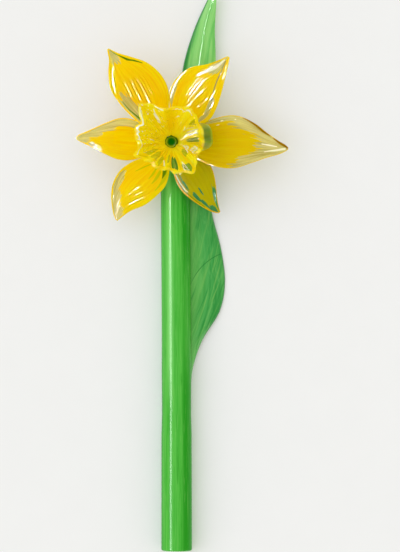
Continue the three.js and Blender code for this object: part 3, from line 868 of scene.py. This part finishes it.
def folds(rows, turn, reach, V, width, base):
    """Height of the sharp folds in a petal. A fold's steep face is tipped just enough to show the strip
    light from above, whatever the slope of the petal there, and meets the petal again on both sides."""
    height = np.zeros_like(V)
    if not rows:
        return height
    rings = slice(0, V.shape[1] // 2 + 1)  # the top, from margin to margin
    across = V * width
    step = np.maximum(np.gradient(reach, axis=0), 1e-6)
    slope_across = np.zeros_like(V)
    slope_across[:, rings] = np.gradient(base[:, rings], axis=1) / np.gradient(across[:, rings], axis=1)
    slope_along = (np.gradient(base, axis=0) - slope_across * np.gradient(across, axis=0)) / step
    along_x, along_y = cos(turn), sin(turn)
    normal_x = slope_across * along_y - slope_along * along_x
    normal_y = -slope_across * along_x - slope_along * along_y
    share = reach / reach.max()
    for reach_mm, turns in rows:
        at, v_line = zip(*turns)
        line = np.interp(share, at, v_line) * width
        veer = np.gradient(line, axis=0) / step
        fold_x, fold_y = -along_y - veer * along_x, along_x - veer * along_y
        steep = (normal_x - STRIP_TILT) / fold_x
        for _ in range(4):
            tilt = STRIP_TILT + STRIP_TILT_BEND * (normal_y - steep * fold_y) ** 2
            steep = (normal_x - tilt) / fold_x
        away = across - line
        ends = ease(share, at[0] - 0.03, at[0]) * (1 - ease(share, at[-1], at[-1] + 0.03))
        height = height + steep * away * np.exp(-np.abs(away / reach_mm) ** 3) * ends
    return height


def petal_marks(petal, number, share, V, reach, width):
    """What the petal's glass shows at each place, by name."""
    length = petal["length"]
    patches = [1 - np.hypot((share - s) / rs, (V - v) / rv) for s, v, rs, rv in petal["clear"]]
    lines = {tint: np.zeros_like(V) for tint in LINE_COLOURS}
    for tint, turns in petal["lines"]:
        at, v_line, half_width = zip(*turns)
        away = np.abs(V - np.interp(share, at, v_line)) * width
        past = np.maximum(at[0] - share, share - at[-1]) * length
        away = np.hypot(away, np.maximum(past, 0.0))
        drawn = np.interp(share, at, half_width)
        lines[tint] = np.maximum(lines[tint], 1 - ease(away / drawn, 0.6, 1.5))
    rim_width = np.where(V > 0, petal["rims"][1], petal["rims"][0])
    middle = np.exp(-(((share - 0.45) / 0.3) ** 2) - ((V - 0.1) / 0.7) ** 2)
    return {
        "flow": np.stack([V * FLOW_HALF_WIDTH, reach, np.full_like(V, FLOW_APART * number)], axis=-1),
        "coloured": -np.max(patches, axis=0),
        "margin": np.minimum((1 - np.abs(V)) * width / rim_width, (1 - share) * length / TIP_RIM),
        "olive_and_shade": np.full_like(V, petal["olive_and_shade"]),
        "amber": petal["amber"] * middle,
        **{"line_" + tint: values for tint, values in lines.items()},
    }


def make_petal(name, number, material):
    petal = PETALS[name]
    length = petal["length"]
    stations = [(ROOT_REACH / length, ROOT_HALF_WIDTH, ROOT_HALF_WIDTH)]
    stations += list(zip(PETAL_SHARES, petal["left"], petal["right"]))
    stations += [(1.0, TIP_HALF_WIDTH, TIP_HALF_WIDTH)]
    T, V, face = blade_grid(110, 220, gather=0.3)
    share, left, right = np.moveaxis(along(stations, T), -1, 0)
    reach = np.maximum(share * length, ROOT_REACH)
    half, tip = petal["bend"]
    lift = (8 * half - tip) * share**2 + (2 * tip - 8 * half) * share**3
    swell = np.sin(pi * lerp(ROOT_SWELL, 1.0, T))
    width = (left + right) / 2
    slim = ease(width / width.max(), 0.1, 0.9)
    crown = petal["crown"] * ease(T, FLAT_ROOT, FULL_ARCH) * swell * slim * (1 - V * V)
    curl = np.where(V > 0, petal["curl"][0], petal["curl"][1]) * swell * V**4
    wander = RIB_WANDER * ripple(0.6 * T, 0.3 * V, WANDER_SEED + number)
    rib = RIB_HEIGHT * slim * np.cos(petal["ribs"] * pi * (V + wander))
    fine_rib = FINE_RIB_HEIGHT * slim * ripple(6 * V, 0.5 * T, FINE_RIB_SEED + number) * (face > 0)
    waver = MARGIN_WAVER * swell * V**6 * ripple(4 * T, V, WAVER_SEED + number)
    thick = lerp(PETAL_THICK[0], PETAL_THICK[1], swell) * lerp(1.0, PETAL_EDGE, V * V)
    across = lerp(-right, left, (V + 1) / 2)
    turn = radians(petal["direction"])
    z = petal["level"] + lift + crown + curl + rib + fine_rib + waver + face * thick / 2
    z = z + folds(petal["folds"], turn, reach, V, width, z) * (face > 0)
    x = reach * cos(turn) - across * sin(turn)
    y = reach * sin(turn) + across * cos(turn)
    points = np.stack([x, y, z], axis=-1)
    marks = petal_marks(petal, number, share, V, reach, width)
    piece = make_piece(name + "_glass", points, marks, material, name)


# ----- trumpet -----


def spreads_away(angle, feature):
    away = angle - radians(feature["direction"])
    return np.arctan2(np.sin(away), np.cos(away)) / radians(feature["spread"])


def wall(reach, rim_z, angle, s):
    """Radius and height of the wall's middle surface, s from 0 at the throat to 1 at the lip."""
    swell = np.sin(pi * s)
    side = np.exp(-(spreads_away(angle, BELLY) ** 4))
    belly = BELLY["out"] * side * swell
    u = spreads_away(angle, FLUTE)
    fold = np.exp(-u * u)
    flute = FLUTE["depth"] * (3 * u * u - 1) * fold * swell
    pleated = (1 - fold) * np.clip(s, 0, None) ** PLEAT_ONSET
    warped = PLEATS * angle + 0.7 * np.sin(3 * angle + 1.0) + 0.5 * np.sin(7 * angle)
    pleat = PLEAT_HEIGHT * (1 + 0.3 * np.sin(5 * angle + 2.0)) * np.cos(warped) * pleated
    radius = lerp(THROAT_RADIUS, reach, s) + belly + PLEAT_OUT * pleat * (1 - 0.8 * side)
    z = lerp(THROAT_Z, rim_z, np.clip(s, 0, None) ** TRUMPET_RISE) + pleat + flute
    return radius, z


def from_glint(turns, degrees, share, radius):
    """Distance in mm from a painted highlight line, measured in the wall."""
    nearest = np.full_like(share, 1e3)
    for (direction, height), (next_direction, next_height) in zip(turns, turns[1:]):
        around = np.radians((degrees - direction + 180) % 360 - 180) * radius
        up = (share - height) * WALL_LENGTH
        run_around = radians(next_direction - direction) * radius
        run_up = (next_height - height) * WALL_LENGTH
        part = (around * run_around + up * run_up) / (run_around**2 + run_up**2)
        part = np.clip(part, 0.0, 1.0)
        nearest = np.minimum(nearest, np.hypot(around - part * run_around, up - part * run_up))
    return nearest


def crimps(angle, s):
    """How far the inner face stands in from the smooth wall: fine ridges, and hammered dimples on the
    left side and low on the bulging one."""
    u = spreads_away(angle, FLUTE)
    ridged = (1 - np.exp(-u * u)) * ease(s, 0.0, 0.3)
    wander = 0.15 * np.sin(4 * angle + 2 * s) + 0.08 * np.sin(9 * angle)
    place = angle + wander
    ridges = RIDGE_HEIGHT * np.cos(RIDGES * place) * ridged
    ridges = ridges * (0.6 + 0.6 * ripple(3 * np.cos(angle) + s, 3 * np.sin(angle) - s, RIDGE_SEED))
    side = np.exp(-((spreads_away(angle, BELLY) / 1.6) ** 4)) * ease(s, 0.0, 0.2)
    ridges = ridges + SIDE_RIDGE_HEIGHT * side * np.cos(SIDE_RIDGES * place) * (1 - s)
    upper = ease(s, 0.2, 0.45)
    ridges = ridges + FINE_RIDGE_HEIGHT * side * np.cos(FINE_RIDGES * place) * upper
    dimpled = ease(-np.cos(angle), -0.1, 0.6) * np.sin(pi * s) + 1.2 * side * (1 - s)
    waves_x, waves_y = 9 * np.cos(angle) + 7 * s, 9 * np.sin(angle) - 7 * s
    dimples = DIMPLE_HEIGHT * ripple(waves_x, waves_y, DIMPLE_SEED, 9)
    return ridges + dimpled * dimples


def lip_cant(lip, wall_way, cross_way):
    """How far the lip's edge is turned about its own run, so that it shows the strip light."""
    run = np.roll(lip, -1, axis=0) - np.roll(lip, 1, axis=0)
    turns = np.radians(np.arange(-LIP_TURN_MOST, LIP_TURN_MOST + 1))
    edge = cross_way * np.cos(turns)[:, None, None] + wall_way * np.sin(turns)[:, None, None]
    normal = np.cross(run, edge)
    slope_x, slope_y = normal[..., 0] / normal[..., 2], normal[..., 1] / normal[..., 2]
    miss = np.abs(slope_x - STRIP_TILT - STRIP_TILT_BEND * slope_y**2)
    turn = turns[np.argmin(miss + 0.2 * np.abs(turns)[:, None], axis=0)]
    turn = np.where(np.min(miss, axis=0) < 0.05, turn, 0.0)
    near = np.arange(-LIP_EASE, LIP_EASE + 1)
    return np.mean([np.roll(turn, k) for k in near], axis=0)


def trumpet_windows(degrees, s, inside):
    """How far each place is from the windows' edges, less than 0 within them, and how deep their
    colour is."""
    patches, deep = [], np.zeros_like(s)
    for direction, height, half_turn, half_height, depth in WINDOWS:
        away = (degrees - direction + 180) % 360 - 180
        boxy = (np.abs(away / half_turn) ** 3 + np.abs((s - height) / half_height) ** 3) ** (1 / 3)
        field = np.where(inside, 1 - boxy, -1.0)
        patches.append(field)
        deep = np.maximum(deep, depth * ease(field, -0.6, 0.1))
    return -np.max(patches, axis=0), deep


def trumpet_marks(angle, s, inside, radius):
    """What the trumpet's glass shows at each place, by name."""
    degrees = np.degrees(angle) % 360
    coloured, deep = trumpet_windows(degrees, s, inside)
    flute = np.exp(-(spreads_away(angle, FLUTE) ** 2))
    pleated = (1 - flute) * ease(s, 0.15, 0.5)
    lower = 0.35 + 0.65 * (np.sin(angle) < 0)
    belly = np.exp(-((spreads_away(angle, BELLY) / 1.1) ** 4)) * ~inside * ease(s, 0.1, 0.3)
    belly = belly * (1 - ease(s, 0.9, 0.96))
    line_at, line_half = BULGE_GLINT_AT
    from_line = np.abs(s - line_at) / line_half
    # painted highlights along the lip and inside the trumpet
    painted_glint = np.zeros_like(s)
    for half_width, turns in PAINTED_GLINTS:
        away = from_glint(turns, degrees, s, radius)
        painted_glint = np.maximum(painted_glint, 1 - ease(away / half_width, 0.6, 1.6))
    # painted glints on the left inner wall
    glint_flecked = np.clip(np.cos(angle - radians(GLINT_FLECK_SIDE)) + 0.1, 0, 1)
    speckled = np.clip(0.3 + 0.7 * np.cos(angle - radians(SPECKLED_SIDE)), 0, 1)
    # painted sheen on the right inner wall
    painted_sheen = np.exp(-(((degrees - SHEEN_PATCH["direction"]) / SHEEN_PATCH["spread"]) ** 2))
    return {
        "flow": np.stack([FLOW_TURN * np.cos(angle), FLOW_TURN * np.sin(angle), s * FLOW_RISE], axis=-1),
        "coloured": coloured,
        "deep": deep,
        # painted shade in the pleats' valleys, stronger on the lower half
        "valley_shade": np.clip(-np.cos(PLEATS * angle), 0, 1) * pleated * lower,
        "flute": flute * ease(s, 0.1, 0.4),
        "painted_sheen": inside * painted_sheen * ease(s, 0.05, 0.25),
        "lip": 0.6 * np.exp(-(((1 - s) / 0.04) ** 2)),
        "painted_glint": inside * painted_glint,
        "glint_flecked": inside * glint_flecked * ease(s, 0.25, 0.45) * (1 - flute),
        "speckled": speckled * ease(s, 0.1, 0.4),
        "belly": belly,
        # painted highlight round the bulge
        "bulge_glint": 0.7 * belly * np.exp(-from_line * from_line),
    }


def make_trumpet():
    around, up = 720, 60
    rows = [(reach * cos(radians(at)), reach * sin(radians(at)), z) for at, reach, z in LIP]
    rim = along(rows, np.arange(around) / around, closed=True)
    angle = np.arctan2(rim[:, 1], rim[:, 0])
    reach = np.hypot(rim[:, 0], rim[:, 1])
    s = np.sin(np.linspace(0, pi / 2, up + 1))
    s = np.concatenate([s, s[-2:0:-1]])
    face = np.concatenate([np.ones(up + 1), -np.ones(up - 1)])
    A, S = np.meshgrid(angle, s, indexing="ij")
    reach, rim_z = (np.broadcast_to(values[:, None], A.shape) for values in (reach, rim[:, 2]))
    radius, z = wall(reach, rim_z, A, S)
    radius_on, z_on = wall(reach, rim_z, A, S + 0.02)
    slope_r, slope_z = radius_on - radius, z_on - z
    slope = np.hypot(slope_r, slope_z)
    rounding = np.sqrt(np.clip(1.0 - np.abs(2 * S - 1) ** 120, 0.0, 1.0))
    lumps = 0.5 + 0.5 * ripple(9 * np.cos(A), 9 * np.sin(A), LUMP_SEED, 7)
    side = np.exp(-(spreads_away(A, BELLY) ** 4))
    at_lip = np.exp(-(((1 - S) / LIP_SPREAD) ** 2))
    bead = 1.0 + (LIP_BEAD[0] + LIP_BEAD[1] * lumps) * (1 - 0.9 * side) * at_lip
    half = face * rounding * bead * lerp(TRUMPET_THICK[0], TRUMPET_THICK[1], S) / 2
    half = half - np.where(face < 0, crimps(A, S), 0.0)
    way_r, way_z = (slope_r / slope)[:, up], (slope_z / slope)[:, up]
    out_x, out_y = np.cos(angle), np.sin(angle)
    cant = lip_cant(
        np.stack([radius[:, up] * out_x, radius[:, up] * out_y, z[:, up]], axis=-1),
        np.stack([way_r * out_x, way_r * out_y, way_z], axis=-1),
        np.stack([way_z * out_x, way_z * out_y, -way_r], axis=-1),
    )
    canted = np.tan(cant)[:, None] * at_lip * half
    radius = radius + slope_z / slope * half + slope_r / slope * canted
    z = z - slope_r / slope * half + slope_z / slope * canted
    points = np.stack([radius * np.cos(A), radius * np.sin(A), z], axis=-1)
    marks = trumpet_marks(A, S, face < 0, radius)
    piece = make_piece("trumpet_cup", points, marks, trumpet_material(), "trumpet", joined=True)


# ----- the studio -----

FRAME_PX = (400, 552)
EYE_PX = (171.3, 142.0)  # where the photograph shows the flower's eye
MM_PER_PX = 0.45  # at the petals' height
PETAL_Z = 20.0
CAMERA_Z = 2000.0
SENSOR = 36.0

KEY_FROM = (155, 63)  # direction and elevation in degrees
KEY_SPREAD = 75
KEY_STRENGTH = 1.5
KEY_COLOUR = (0.55, 0.54, 0.78)
STRIP_FROM = (180, 46)  # direction and elevation in degrees
STRIP_DISTANCE = 1.0  # in metres, as is its size
STRIP_SIZE = (3.4, 0.2)
STRIP_POWER = 100
SKY_COLOUR = (0.766, 0.771, 0.644, 1.0)
SKY_IN_GLOSS = 0.1  # how much of the sky shows in reflections
BACKDROP = (0.87, 0.87, 0.87, 1.0)  # what the camera sees past the floor
FLOOR_REACH = 4.0  # in metres
FLOOR_DROP = 0.05  # in mm
FLOOR_DARK, FLOOR_PALE = (0.78, 0.78, 0.78, 1.0), (0.8, 0.8, 0.8, 1.0)
FLOOR_GRAIN = (60.0, 60.0, 60.0)
FLOOR_GLOW = 0.1  # light from a pale table lit from below


def make_camera():
    data = bpy.data.cameras.new("camera")
    data.sensor_width = SENSOR
    data.lens = SENSOR * (CAMERA_Z - PETAL_Z) / (FRAME_PX[1] * MM_PER_PX)
    data.clip_end = 20.0
    camera = bpy.data.objects.new("camera", data)
    right = (FRAME_PX[0] / 2 - EYE_PX[0]) * MM_PER_PX
    up = (EYE_PX[1] - FRAME_PX[1] / 2) * MM_PER_PX
    camera.location = ((AXIS[0] + right) * MM, (AXIS[1] + up) * MM, CAMERA_Z * MM)
    add(camera)
    bpy.context.scene.camera = camera


def place_light(name, data, direction, elevation):
    """A light turned to shine from a direction and an elevation in degrees."""
    light = bpy.data.objects.new(name, data)
    azimuth = radians(direction) + pi / 2
    light.rotation_euler = (pi / 2 - radians(elevation), 0, azimuth)
    add(light)
    return light


def make_key():
    """The soft main light, which leaves reflections to the strip."""
    data = bpy.data.lights.new("key", "SUN")
    data.angle = radians(KEY_SPREAD)
    data.energy = KEY_STRENGTH
    data.color = KEY_COLOUR
    key = place_light("key", data, *KEY_FROM)
    key.visible_glossy = False


def make_strip():
    """A bright strip that faces the flower, seen only in its reflections."""
    data = bpy.data.lights.new("strip", "AREA")
    data.shape = "RECTANGLE"
    data.size, data.size_y = STRIP_SIZE
    data.energy = STRIP_POWER
    strip = place_light("strip", data, *STRIP_FROM)
    a, e = (radians(turn) for turn in STRIP_FROM)
    direction = np.array([cos(a) * cos(e), sin(a) * cos(e), sin(e)])
    strip.location = (direction * STRIP_DISTANCE).tolist()
    strip.visible_diffuse = False
    strip.visible_camera = False


def make_sky():
    world = bpy.data.worlds.new("studio")
    bpy.context.scene.world = world
    world.use_nodes = True
    tree = world.node_tree
    background = tree.nodes["Background"]
    rays = tree.nodes.new("ShaderNodeLightPath")
    colour = tree.nodes.new("ShaderNodeMix")
    colour.data_type = "RGBA"
    tree.links.new(rays.outputs["Is Camera Ray"], colour.inputs[0])
    colour.inputs[6].default_value = SKY_COLOUR
    colour.inputs[7].default_value = BACKDROP
    dim = tree.nodes.new("ShaderNodeMapRange")
    tree.links.new(rays.outputs["Is Glossy Ray"], dim.inputs["Value"])
    dim.inputs["To Min"].default_value = 1.0
    dim.inputs["To Max"].default_value = SKY_IN_GLOSS
    tree.links.new(colour.outputs[2], background.inputs["Color"])
    tree.links.new(dim.outputs["Result"], background.inputs["Strength"])


def make_floor():
    mesh = bpy.data.meshes.new("floor")
    z = -FLOOR_DROP * MM
    corners = [(x * FLOOR_REACH, y * FLOOR_REACH, z) for x, y in [(-1, -1), (1, -1), (1, 1), (-1, 1)]]
    mesh.from_pydata(corners, [], [(0, 1, 2, 3)])
    m = Shader("floor", Roughness=0.9)
    grain = m.noise(m.node("TexCoord", {}).outputs["Object"], FLOOR_GRAIN, detail=2.0)
    m.set(Base_Color=m.mix(grain, FLOOR_DARK, FLOOR_PALE))
    m.set(Specular_IOR_Level=0.0, Emission_Color=(1, 1, 1, 1), Emission_Strength=FLOOR_GLOW)
    mesh.materials.append(m.material)
    floor = bpy.data.objects.new("floor", mesh)
    add(floor)


bpy.context.scene.view_settings.view_transform = "Standard"
make_camera()
make_key()
make_strip()
make_sky()
make_floor()
make_stem()
make_leaf()
petal_glass = petal_material()
for number, name in enumerate(PETALS):
    make_petal(name, number, petal_glass)
make_trumpet()
